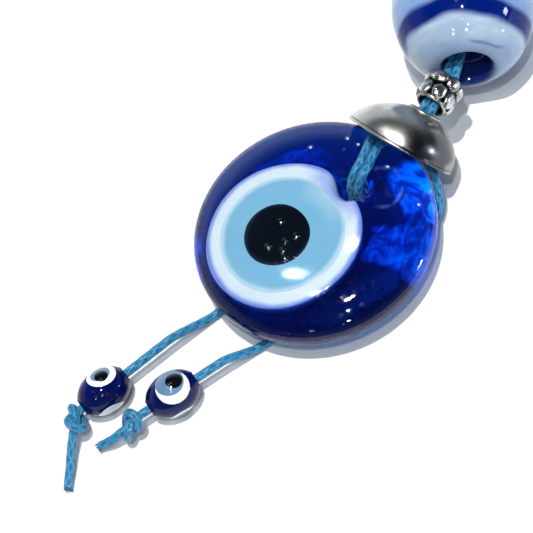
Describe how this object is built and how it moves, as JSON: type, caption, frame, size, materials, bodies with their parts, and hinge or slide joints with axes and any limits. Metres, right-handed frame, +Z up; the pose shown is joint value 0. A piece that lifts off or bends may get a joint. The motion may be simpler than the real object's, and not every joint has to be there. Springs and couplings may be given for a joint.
{
  "type": "evil eye ornament",
  "caption": "Blue glass eye disc hung by a doubled cord through a domed silver cap, a granulated spacer and a swirled glass bead, with knotted cord tails that carry small glass eye beads.",
  "frame": {"origin": "on the table, under the middle of the box round the glass and metal pieces, the cords left out", "axes": "+Y from the tails to the hanging loop, +Z up out of the eye's face, X across the disc"},
  "size_m": [0.0635, 0.1749, 0.0294],
  "materials": {
    "cobalt_glass": "clear deep blue, fire polished",
    "white_glass": "opaque white",
    "pale_blue_glass": "opaque pale blue",
    "black_glass": "opaque black, glossy",
    "bright_silver": "polished silver plate",
    "antique_silver": "silver plate with blackened ground",
    "deep_blue_glass": "opaque dark blue",
    "milk_glass": "opaque bluish white",
    "navy_glass": "opaque navy, glossy",
    "dot_white": "opaque white",
    "dot_grey_blue": "opaque grey blue",
    "dot_black": "opaque black",
    "turquoise_cotton": "waxed braided cotton cord"
  },
  "bodies": {
    "disc": {"glass_disc": "cobalt_glass", "eye_white": "white_glass", "eye_iris": "pale_blue_glass", "eye_pupil": "black_glass", "front_strand_left": "turquoise_cotton", "front_strand_right": "turquoise_cotton", "back_run_left": "turquoise_cotton", "back_run_up": "turquoise_cotton", "back_run_right": "turquoise_cotton"},
    "hanger": {"cap_knot": "turquoise_cotton", "string_strand_left": "turquoise_cotton", "string_strand_right": "turquoise_cotton"},
    "cap": {"bead_cap": "bright_silver"},
    "spacer": {"spacer_bead": "antique_silver"},
    "swirl": {"swirl_core": "deep_blue_glass", "swirl_casing": "milk_glass", "swirl_band": "deep_blue_glass"},
    "loop": {"hanging_loop": "turquoise_cotton"},
    "tail_left": {"tail_cord_left": "turquoise_cotton"},
    "tail_right": {"tail_cord_right": "turquoise_cotton"},
    "bead_left": {"tail_bead_left": "navy_glass", "tail_eye_white_left": "dot_white", "tail_eye_iris_left": "dot_grey_blue", "tail_eye_pupil_left": "dot_black"},
    "bead_right": {"tail_bead_right": "navy_glass", "tail_eye_white_right": "dot_white", "tail_eye_iris_right": "dot_grey_blue", "tail_eye_pupil_right": "dot_black"}
  },
  "joints": [
    {"name": "hanger_lift", "type": "hinge", "parent": "disc", "child": "hanger", "pos_m": [0.00589, 0.01963, 0.01198], "axis": [1, 0, 0], "range_deg": [0, 12]},
    {"name": "cap_turn", "type": "hinge", "parent": "hanger", "child": "cap", "pos_m": [0.00564, 0.01614, 0.0105], "axis": [0.0642, 0.9183, 0.3907], "range_deg": [-60, 60]},
    {"name": "spacer_spin", "type": "hinge", "parent": "hanger", "child": "spacer", "pos_m": [0.00722, 0.0292, 0.01425], "axis": [-0.0521, 0.9948, -0.0872], "continuous": true},
    {"name": "swirl_spin", "type": "hinge", "parent": "hanger", "child": "swirl", "pos_m": [0.0004, 0.04767, 0.01475], "axis": [-0.6018, 0.7986, 0], "continuous": true},
    {"name": "loop_lift", "type": "hinge", "parent": "hanger", "child": "loop", "pos_m": [-0.00795, 0.05876, 0.01475], "axis": [0.7986, 0.6018, 0], "range_deg": [0, 45]},
    {"name": "tail_left_swing", "type": "hinge", "parent": "disc", "child": "tail_left", "pos_m": [-0.00956, -0.02867, 0.00095], "axis": [0, 0, 1], "range_deg": [-35, 2]},
    {"name": "tail_right_swing", "type": "hinge", "parent": "disc", "child": "tail_right", "pos_m": [0.00291, -0.03052, 0.00095], "axis": [0, 0, 1], "range_deg": [-2, 35]},
    {"name": "bead_left_slide", "type": "slide", "parent": "tail_left", "child": "bead_left", "axis": [-0.2907, -0.9568, 0], "range_m": [-0.008, 0]},
    {"name": "bead_right_slide", "type": "slide", "parent": "tail_right", "child": "bead_right", "axis": [-0.3859, -0.9225, 0], "range_m": [-0.005, 0.0014]}
  ]
}
